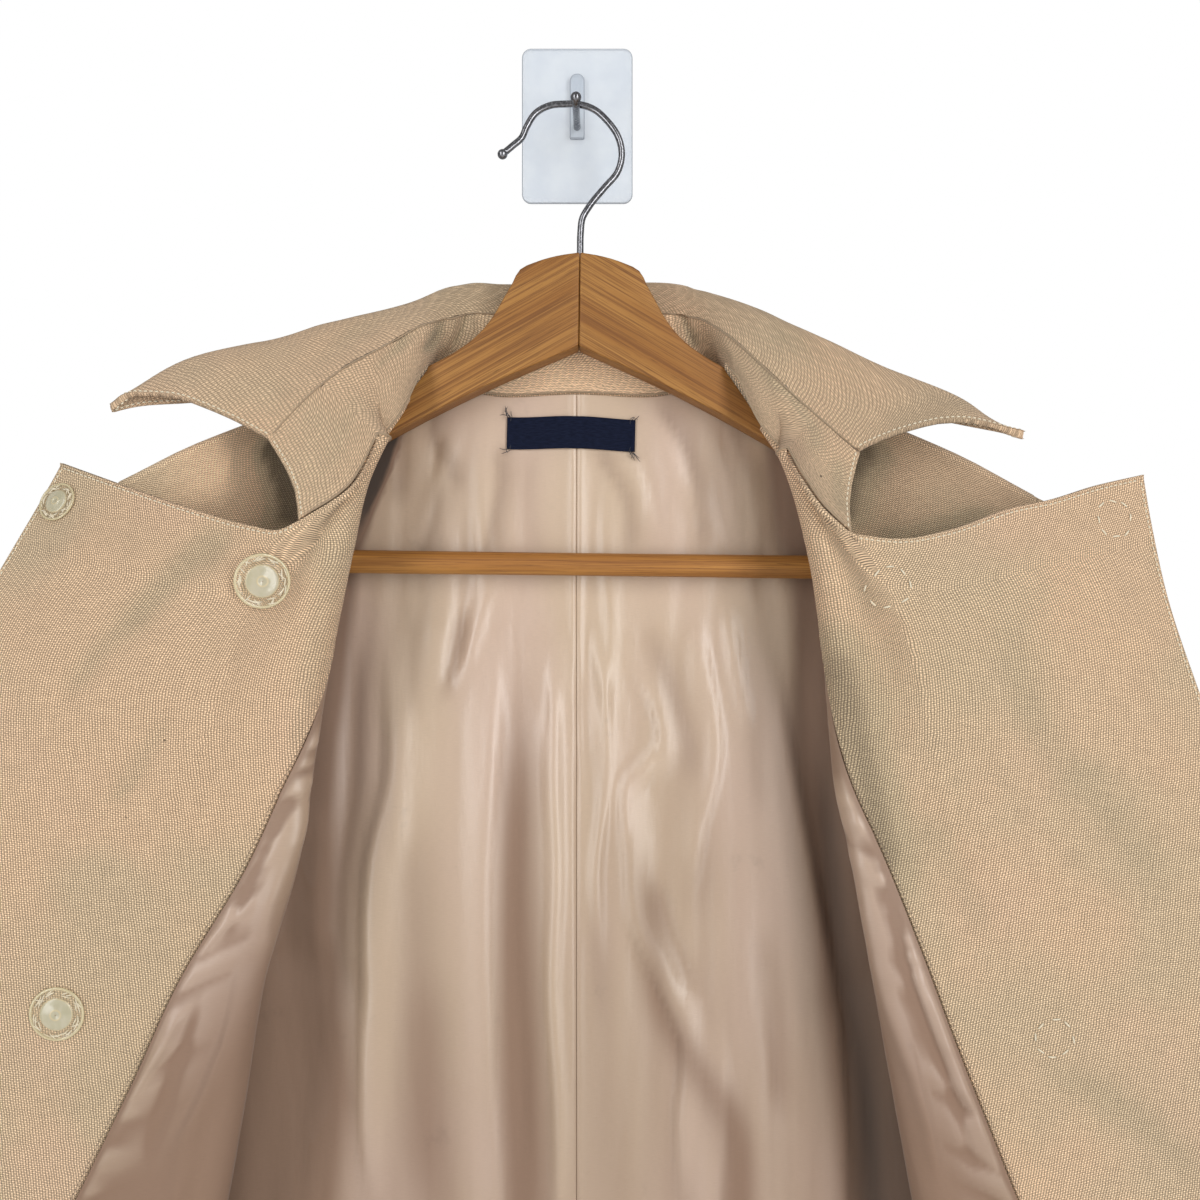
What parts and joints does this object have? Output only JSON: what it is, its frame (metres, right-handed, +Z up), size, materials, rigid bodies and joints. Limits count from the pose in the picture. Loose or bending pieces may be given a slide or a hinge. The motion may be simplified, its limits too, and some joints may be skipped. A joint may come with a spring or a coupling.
{
  "type": "jacket on hanger and wall hook",
  "caption": "Open double-breasted canvas jacket, collar up and fronts folded back, on a flat wooden hanger that hangs from a small clear wall hook.",
  "frame": {"origin": "middle of the wall plate's back face, on the wall", "axes": "+Z up, +Y into the wall, +X to the right of someone who faces the wall"},
  "size_m": [0.8676, 0.1028, 0.844],
  "materials": {
    "canvas": "heavy plain-woven cotton canvas, beige, creased, with cream topstitching",
    "lining": "satin-woven lining, pinkish beige, soft sheen",
    "label": "bare navy woven ribbon",
    "wood": "warm brown bamboo with clear satin lacquer",
    "steel": "polished steel wire",
    "clear": "milky clear moulded plastic",
    "snap": "pale yellow clear plastic press snap"
  },
  "bodies": {
    "root": {"back_canvas": "canvas", "front_left": "canvas", "front_right": "canvas", "facing_left": "canvas", "facing_right": "canvas", "collar_stand": "canvas", "collar_fall": "canvas", "sleeve_top_left": "canvas", "sleeve_top_right": "canvas", "sleeve_under_left": "canvas", "sleeve_under_right": "canvas", "lining_front_left": "lining", "lining_front_right": "lining", "lining_back_left": "lining", "lining_back_right": "lining", "label": "label", "hanger_arm_left": "wood", "hanger_arm_right": "wood", "hanger_bar": "wood", "hanger_hook": "steel", "wall_hook": "steel", "wall_plate": "clear", "snap_left_1": "snap", "snap_left_2": "snap", "snap_left_3": "snap", "snap_left_4": "snap", "snap_right_1": "snap", "snap_right_2": "snap", "snap_right_3": "snap", "snap_right_4": "snap"}
  },
  "joints": []
}
